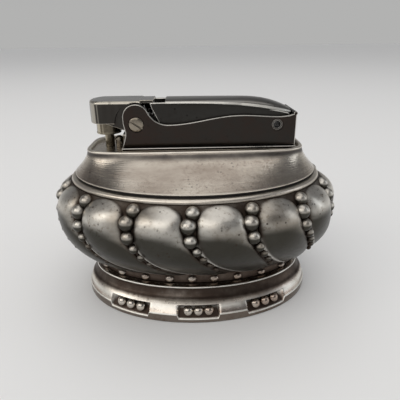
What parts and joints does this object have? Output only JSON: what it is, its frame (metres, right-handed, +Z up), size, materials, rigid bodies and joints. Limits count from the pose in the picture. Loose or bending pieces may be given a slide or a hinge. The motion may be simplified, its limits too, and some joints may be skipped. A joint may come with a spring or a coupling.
{
  "type": "table lighter",
  "caption": "Oval table lighter: a swirled, beaded silver-plate body on a foot, with a thumb lever that lifts a snuffer cap off the wick and turns a spark wheel.",
  "frame": {"origin": "on the table, under the middle of the oval body", "axes": "+X along the body towards the lever's pivot, +Z up, -Y towards the viewer of the picture"},
  "size_m": [0.086, 0.0638, 0.0607],
  "materials": {
    "silver_plate": "worn silver plate with brown tarnish in the hollows",
    "mechanism_plate": "polished plate, darker than the body",
    "worn_plate": "plate dulled by use",
    "base_metal": "plain sheet",
    "steel": "satin",
    "hard_steel": "blackened and cross-cut",
    "brass": "turned",
    "flint_metal": "matt grey",
    "felt": "green felt",
    "cork_leather": "oiled leather",
    "cotton": "cotton"
  },
  "bodies": {
    "body": {"bowl": "silver_plate", "collar": "silver_plate", "foot": "silver_plate", "base_plate": "base_metal", "felt_pad": "felt", "base_screws": "steel", "deck_plate": "worn_plate", "tank": "base_metal", "tank_floor": "base_metal", "filler_gasket": "cork_leather", "cotton_packing": "cotton", "wick": "cotton", "wick_tube": "steel", "spark_guard": "steel", "flint_tube": "brass", "flint_spring": "steel", "frame": "mechanism_plate", "frame_screws": "steel", "axle_screw": "mechanism_plate", "lever_rivet": "steel", "lever_spring": "steel"},
    "lever": {"thumb_lever": "worn_plate"},
    "arm": {"snuffer_arm": "mechanism_plate", "wheel_pawl": "steel", "snuffer_spring": "steel"},
    "cup": {"snuffer_cup": "mechanism_plate", "snuffer_clip": "steel"},
    "wheel": {"spark_wheel": "hard_steel"},
    "flint": {"flint": "flint_metal"},
    "filler": {"filler_screw": "brass"},
    "flint_plug": {"flint_screw": "brass"}
  },
  "joints": [
    {"name": "lever_press", "type": "hinge", "parent": "body", "child": "lever", "pos_m": [0.023, 0, 0.0538], "axis": [0, -1, 0], "range_deg": [0, 6.8], "stiffness_Nm_per_rad": 0.6, "springref_deg": -14.32, "deforming": ["lever_spring"]},
    {"name": "arm_lift", "type": "hinge", "parent": "body", "child": "arm", "pos_m": [-0.01625, 0, 0.0543], "axis": [0, 1, 0], "range_deg": [0, 49.5]},
    {"name": "wheel_turn", "type": "hinge", "parent": "body", "child": "wheel", "pos_m": [-0.01625, 0, 0.0543], "axis": [0, 1, 0], "range_deg": [0, 49.5]},
    {"name": "cup_seat", "type": "slide", "parent": "arm", "child": "cup", "axis": [0, 0, 1], "range_m": [0, 0.0008], "stiffness_N_per_m": 80, "springref_m": -0.002, "deforming": ["snuffer_spring"]},
    {"name": "flint_feed", "type": "slide", "parent": "body", "child": "flint", "axis": [0, 0, -1], "range_m": [0, 0.0015], "stiffness_N_per_m": 30, "springref_m": -0.008, "deforming": ["flint_spring"]},
    {"name": "filler_unscrew", "type": "slide", "parent": "body", "child": "filler", "axis": [0, 0, -1], "range_m": [0, 0.003]},
    {"name": "flint_unscrew", "type": "slide", "parent": "body", "child": "flint_plug", "axis": [0, 0, -1], "range_m": [0, 0.003]}
  ],
  "couplings": [
    {"joint": "arm_lift", "follows": "lever_press", "ratio": 7.2632},
    {"joint": "wheel_turn", "follows": "lever_press", "ratio": 7.2632}
  ]
}
